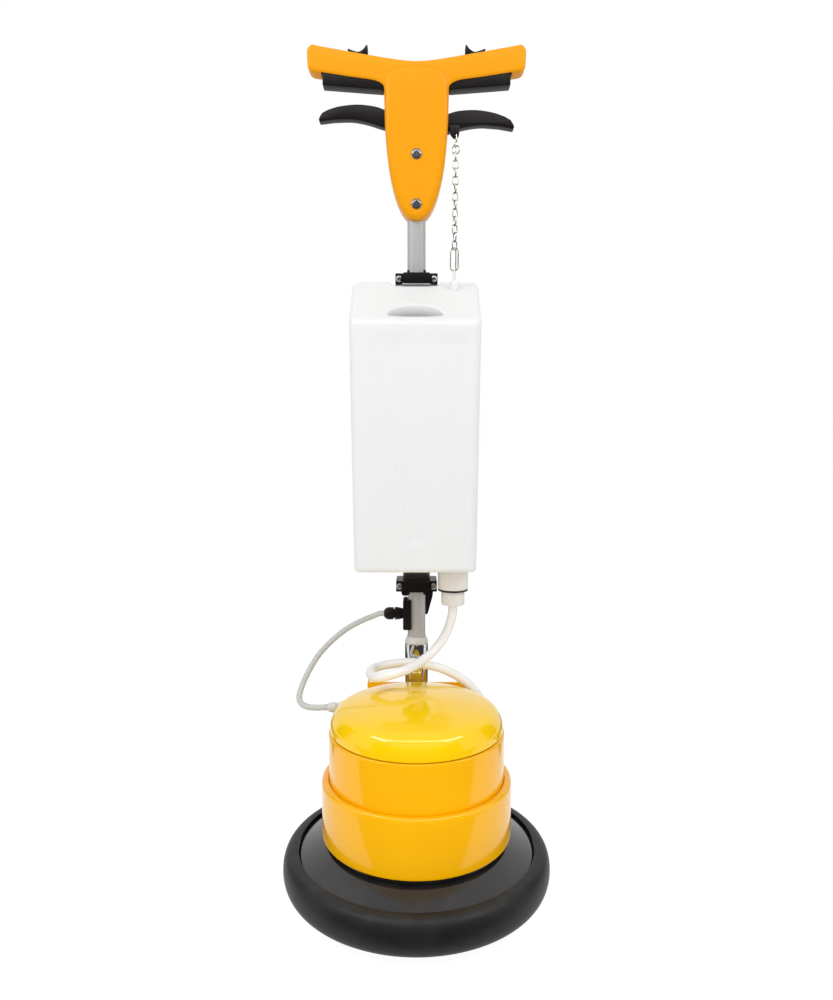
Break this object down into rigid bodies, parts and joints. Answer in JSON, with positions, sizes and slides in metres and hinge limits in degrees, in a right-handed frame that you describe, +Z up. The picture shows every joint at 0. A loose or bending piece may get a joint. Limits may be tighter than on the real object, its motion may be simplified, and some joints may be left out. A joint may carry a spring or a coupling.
{
  "type": "floor scrubber machine",
  "caption": "Single-disc floor scrubber: round bumpered deck with stepped drum motor, tilting pole, clamped water tank, hose and T-handle with levers.",
  "frame": {"origin": "centre of the floor pad's underside, on the floor under the disc's axis", "axes": "+Z up along the disc's axis, +Y towards the pole and wheels, +X to the right of someone facing the front"},
  "size_m": [0.4288, 0.5044, 1.3834],
  "materials": {
    "yellow_paint": "gloss",
    "orange_plastic": "satin",
    "black_plastic": "satin",
    "black_paint": "gloss",
    "rubber": "matte",
    "tank_plastic": "satin translucent",
    "grey_plastic": "satin",
    "aluminium": "anodised",
    "chrome": "mirror",
    "steel": "zinc plated",
    "lamination": "varnished",
    "pad_fibre": "coarse fibre"
  },
  "bodies": {
    "base": {"deck": "black_paint", "bumper": "rubber", "gearbox_housing": "aluminium", "motor_base_plate": "aluminium", "stator": "lamination", "motor_end_shield": "aluminium", "lower_bearing": "steel", "upper_bearing": "steel", "drum_skirt": "yellow_paint", "motor_casing": "yellow_paint", "dome_cover": "yellow_paint", "run_capacitor": "grey_plastic", "rear_bracket": "yellow_paint", "pivot_shaft": "steel", "wheel_axle": "steel", "motor_gland": "grey_plastic", "hose_fitting": "tank_plastic", "link_cable": "grey_plastic", "solution_hose": "tank_plastic"},
    "brush": {"output_carrier": "steel", "pad_driver": "black_plastic", "floor_pad": "pad_fibre"},
    "rotor": {"rotor_core": "lamination", "rotor_shaft": "steel", "cooling_fan": "black_plastic"},
    "planet_a": {"planet_gear_1": "steel"},
    "planet_b": {"planet_gear_2": "steel"},
    "planet_c": {"planet_gear_3": "steel"},
    "left_wheel": {"wheel_left": "rubber"},
    "right_wheel": {"wheel_right": "rubber"},
    "pole": {"chrome_stem": "chrome", "pole_bush": "grey_plastic", "pole_tube": "aluminium", "wiring_box": "black_plastic", "pole_gland": "black_plastic", "lower_clamp": "black_plastic", "upper_clamp": "black_plastic", "lower_strap": "steel", "upper_strap": "steel", "lower_clamp_screw_left": "steel", "lower_clamp_screw_right": "steel", "upper_clamp_screw_left": "steel", "upper_clamp_screw_right": "steel", "water_tank": "tank_plastic", "neck_seal": "rubber", "outlet_nut": "tank_plastic", "cable_hook": "black_plastic", "handle_front": "orange_plastic", "handle_rear": "orange_plastic", "hub_screw_1": "steel", "hub_screw_2": "steel"},
    "left_switch": {"switch_bar_left": "black_plastic"},
    "right_switch": {"switch_bar_right": "black_plastic"},
    "left_catch": {"thumb_catch_left": "black_plastic"},
    "right_catch": {"thumb_catch_right": "black_plastic"},
    "tilt_release": {"tilt_lever": "black_plastic"},
    "tilt_pin": {"lock_pin": "steel"},
    "water_control": {"water_lever": "black_plastic"},
    "water_pull": {"chain": "steel", "valve_rod": "tank_plastic"}
  },
  "joints": [
    {"name": "brush_spin", "type": "hinge", "parent": "base", "child": "brush", "pos_m": [0, 0, 0.03], "axis": [0, 0, 1], "continuous": true},
    {"name": "rotor_spin", "type": "hinge", "parent": "base", "child": "rotor", "pos_m": [0, 0, 0.15], "axis": [0, 0, 1], "continuous": true},
    {"name": "planet_spin_a", "type": "hinge", "parent": "brush", "child": "planet_a", "pos_m": [0.0294, 0, 0.09], "axis": [0, 0, 1], "continuous": true},
    {"name": "planet_spin_b", "type": "hinge", "parent": "brush", "child": "planet_b", "pos_m": [-0.0147, 0.02546, 0.09], "axis": [0, 0, 1], "continuous": true},
    {"name": "planet_spin_c", "type": "hinge", "parent": "brush", "child": "planet_c", "pos_m": [-0.0147, -0.02546, 0.09], "axis": [0, 0, 1], "continuous": true},
    {"name": "left_wheel_roll", "type": "hinge", "parent": "base", "child": "left_wheel", "pos_m": [-0.104, 0.245, 0.0485], "axis": [1, 0, 0], "continuous": true},
    {"name": "right_wheel_roll", "type": "hinge", "parent": "base", "child": "right_wheel", "pos_m": [0.104, 0.245, 0.0485], "axis": [1, 0, 0], "continuous": true},
    {"name": "pole_tilt", "type": "hinge", "parent": "base", "child": "pole", "pos_m": [0, 0.168, 0.15], "axis": [-1, 0, 0], "range_deg": [0, 75], "deforming": ["link_cable", "solution_hose"]},
    {"name": "left_switch_squeeze", "type": "hinge", "parent": "pole", "child": "left_switch", "pos_m": [-0.072, 0.158, 1.337], "axis": [0, 1, 0], "range_deg": [0, 4], "stiffness_Nm_per_rad": 2, "springref_deg": -2.86},
    {"name": "right_switch_squeeze", "type": "hinge", "parent": "pole", "child": "right_switch", "pos_m": [0.072, 0.158, 1.337], "axis": [0, -1, 0], "range_deg": [0, 4], "stiffness_Nm_per_rad": 2, "springref_deg": -2.86},
    {"name": "left_catch_slide", "type": "slide", "parent": "pole", "child": "left_catch", "axis": [-0.9848, 0, 0.1736], "range_m": [0, 0.006], "stiffness_N_per_m": 200, "springref_m": -0.005},
    {"name": "right_catch_slide", "type": "slide", "parent": "pole", "child": "right_catch", "axis": [0.9848, 0, 0.1736], "range_m": [0, 0.006], "stiffness_N_per_m": 200, "springref_m": -0.005},
    {"name": "tilt_lever_pull", "type": "hinge", "parent": "pole", "child": "tilt_release", "pos_m": [-0.035, 0.158, 1.262], "axis": [0, 1, 0], "range_deg": [0, 12], "stiffness_Nm_per_rad": 1, "springref_deg": -5.73},
    {"name": "tilt_pin_lift", "type": "slide", "parent": "pole", "child": "tilt_pin", "axis": [0, 0, 1], "range_m": [0, 0.0045]},
    {"name": "water_lever_pull", "type": "hinge", "parent": "pole", "child": "water_control", "pos_m": [0.035, 0.158, 1.256], "axis": [0, -1, 0], "range_deg": [0, 12], "stiffness_Nm_per_rad": 1, "springref_deg": -5.73},
    {"name": "valve_lift", "type": "slide", "parent": "pole", "child": "water_pull", "axis": [0, 0, 1], "range_m": [0, 0.0065]}
  ],
  "couplings": [
    {"joint": "rotor_spin", "follows": "brush_spin", "ratio": 4.6667},
    {"joint": "planet_spin_a", "follows": "brush_spin", "ratio": -2.75},
    {"joint": "planet_spin_b", "follows": "brush_spin", "ratio": -2.75},
    {"joint": "planet_spin_c", "follows": "brush_spin", "ratio": -2.75},
    {"joint": "tilt_pin_lift", "follows": "tilt_lever_pull", "m_per_rad": 0.0191},
    {"joint": "valve_lift", "follows": "water_lever_pull", "m_per_rad": 0.0285}
  ]
}
